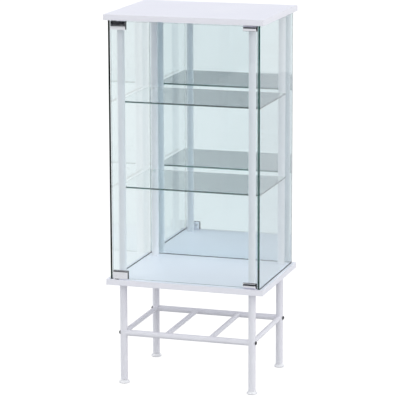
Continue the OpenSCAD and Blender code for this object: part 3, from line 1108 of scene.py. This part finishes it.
def coped_bar(radius, low, high, mate_radius, across):
    """A bmesh of a tube along Y whose ends fit round mating tubes that lie along X, or along Z for legs."""
    length = (high.y - low.y) / MM
    bm = turned(bar_profile(radius, length), 64)
    bmesh.ops.rotate(bm, matrix=Matrix.Rotation(-quarter_turn, 3, "X"), verts=bm.verts)
    for vert in bm.verts:
        off = vert.co.z if across == "X" else vert.co.x
        seat = mate_radius * MM - math.sqrt((mate_radius * MM) ** 2 - off * off)
        vert.co.y += -seat if vert.co.y < length * MM / 2 else seat
    middle = (low + high) / 2
    bmesh.ops.translate(bm, vec=(middle.x, low.y, middle.z), verts=bm.verts)
    return bm


def weld_bead(radius, mate_radius, across):
    """A bmesh of a rippled bead round a bar's end, seated on the mating tube; the bar runs towards +Y."""
    bead = 1.1
    standing = 0.25
    ripples = 26
    ripple_height = 0.16
    core = radius + standing
    bm = bmesh.new()
    points = []
    for step in range(10):
        angle = step * math.pi / 5
        points.append(bm.verts.new(((core + bead * math.cos(angle)) * MM, 0, bead * math.sin(angle) * MM)))
    for a, b in zip(points, points[1:] + points[:1]):
        bm.edges.new((a, b))
    bmesh.ops.spin(
        bm, geom=bm.verts[:] + bm.edges[:], axis=(0, 0, 1), cent=(0, 0, 0),
        steps=4 * ripples, angle=2 * math.pi, use_merge=True,
    )
    bmesh.ops.remove_doubles(bm, verts=bm.verts, dist=1e-7)
    bmesh.ops.rotate(bm, matrix=Matrix.Rotation(-quarter_turn, 3, "X"), verts=bm.verts)
    bmesh.ops.recalc_face_normals(bm, faces=bm.faces[:])
    for vert in bm.verts:
        swell = 1 + ripple_height * math.sin(ripples * math.atan2(vert.co.z, vert.co.x))
        from_axis = math.hypot(vert.co.x, vert.co.z)
        scale = (core * MM + (from_axis - core * MM) * swell) / from_axis
        vert.co.x *= scale
        vert.co.z *= scale
        off = vert.co.z if across == "X" else vert.co.x
        off = max(-mate_radius * MM, min(mate_radius * MM, off))
        vert.co.y = vert.co.y * swell + math.sqrt((mate_radius * MM) ** 2 - off * off)
    return bm


rail_low, rail_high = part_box("rack_rail_front")
rail_radius = (rail_high.z - rail_low.z) / 2 / MM
rail_axis = (rail_low + rail_high) / 2
leg_low, leg_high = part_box("leg_front_right")
leg_radius = (leg_high.x - leg_low.x) / 2 / MM

deepest_seat = leg_radius - math.sqrt(leg_radius ** 2 - rail_radius ** 2)
for side in ("front", "rear"):
    low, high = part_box(f"rack_rail_{side}")
    middle = (low + high) / 2
    length = (high.x - low.x) / MM
    bm = turned(bar_profile(rail_radius, length), 72)
    bmesh.ops.rotate(bm, matrix=Matrix.Rotation(quarter_turn, 3, "Y"), verts=bm.verts)
    for vert in bm.verts:
        seat = leg_radius - math.sqrt(leg_radius ** 2 - (vert.co.y / MM) ** 2)
        trim = (deepest_seat - seat) * MM
        vert.co.x += trim if vert.co.x < length * MM / 2 else -trim
    bmesh.ops.translate(bm, vec=(low.x, middle.y, middle.z), verts=bm.verts)
    finish_piece(f"rail_tube_{side}", bm, "case", [coat], [f"rack_rail_{side}"])

for kind, mate, across in (("side_bar", leg_radius, "Z"), ("rack_bar", rail_radius, "X")):
    for side in ("left", "right"):
        node = f"{kind}_{side}"
        low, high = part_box(node)
        radius = (high.x - low.x) / 2 / MM
        middle = (low + high) / 2
        inner_low = Vector((low.x, rail_axis.y + mate * MM, low.z))
        inner_high = Vector((high.x, -rail_axis.y - mate * MM, high.z))
        bar = coped_bar(radius, inner_low, inner_high, mate, across)
        beads = []
        for half_turn in (0, math.pi):
            place = (
                Matrix.Translation((middle.x, 0, middle.z))
                @ Matrix.Rotation(half_turn, 4, "Z")
                @ Matrix.Translation((0, rail_axis.y, 0))
            )
            beads.append((weld_bead(radius, mate, across), place))
        finish_piece(
            f"{kind}_tube_{side}", gather([(bar, unmoved)] + beads),
            "case", [coat], [node],
        )

bolt_socket = 2.1
bolt_profile = [
    (0, -33), (2.4, -33), (3, -32.4), (3, 0), (4.9, 0), (5.2, 0.3), (5.1, 0.9), (4.6, 1.9), (3.7, 2.7),
    (2.8, 3.1), (2.3, 3.2), (bolt_socket, 3.1), (bolt_socket, 1.5), (0, 1.4),
]


def bolt():
    """A button-headed bolt along Z, with its head's underside at the origin and a hexagon socket."""
    bm = turned(bolt_profile, 48)
    hexagon_socket(bm, bolt_socket)
    return bm


bolt_places = [
    Matrix.Rotation(half_turn, 4, "Z")
    @ Matrix.Translation((leg_high.x, side_y * rail_axis.y, rail_axis.z))
    @ Matrix.Rotation(quarter_turn, 4, "Y")
    for side_y in (1, -1)
    for half_turn in (0, math.pi)
]
finish_piece(
    "rack_button_bolts", gather((bolt(), place) for place in bolt_places),
    "case", [black], ["rack_bolts"],
)


# ---------------------------------------------------------------- levellers
# A plastic socket is driven into each leg. A steel stud moulded into a flared plastic base screws up
# into it, so that each foot can be turned out to level the cabinet.

socket_profile = [
    (4.08, 0), (9.2, 0), (9.5, 0.25), (9.5, 0.8), (9.3, 1), (8.5, 1),
    (8.5, 23.6), (8.1, 24), (4.4, 24), (4.08, 23.7),
]
base_profile = [
    (0, 0), (11.6, 0), (12.5, 0.1), (13.3, 0.5), (13.8, 1.1), (14, 1.9), (14, 3.2), (13.85, 3.7),
    (13.4, 4.1), (12.6, 4.6), (11.9, 5.3), (11.3, 6.2), (10.9, 7.2), (10.7, 7.9), (10.4, 8.3), (9.9, 8.5),
    (4.05, 8.5), (4.05, 4), (0, 4),
]
stud_profile = [(0, 0), (3.6, 0)]
thread_pitch = 1.3
thread_turns = 19
for ridge in range(thread_turns):
    start = 1.0 + ridge * thread_pitch
    stud_profile += [(3.45, start), (3.95, start + 0.45), (3.95, start + 0.6), (3.45, start + 1.05)]
stud_profile += [(3.3, 26.3), (2.7, 27), (0, 27)]

socket_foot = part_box("foot_sockets")[0].z
foot_spots = []
for corner in corners:
    low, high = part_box(f"foot_{corner}")
    foot_spots.append((corner, (low.x + high.x) / 2, (low.y + high.y) / 2, low.z))

finish_piece(
    "leg_socket_set",
    gather(
        (turned(socket_profile, 64), Matrix.Translation((x, y, socket_foot)))
        for corner, x, y, base_foot in foot_spots
    ),
    "case", [plastic], ["foot_sockets"],
)
for corner, x, y, base_foot in foot_spots:
    stud_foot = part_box(f"foot_stud_{corner}")[0].z
    finish_piece(
        f"leveller_base_{corner}",
        gather([(turned(base_profile, 72), Matrix.Translation((x, y, base_foot)))]),
        f"leveller_{corner}", [plastic], [f"foot_{corner}"],
    )
    finish_piece(
        f"leveller_stud_{corner}",
        gather([(turned(stud_profile, 40), Matrix.Translation((x, y, stud_foot)))]),
        f"leveller_{corner}", [steel], [f"foot_stud_{corner}"],
    )
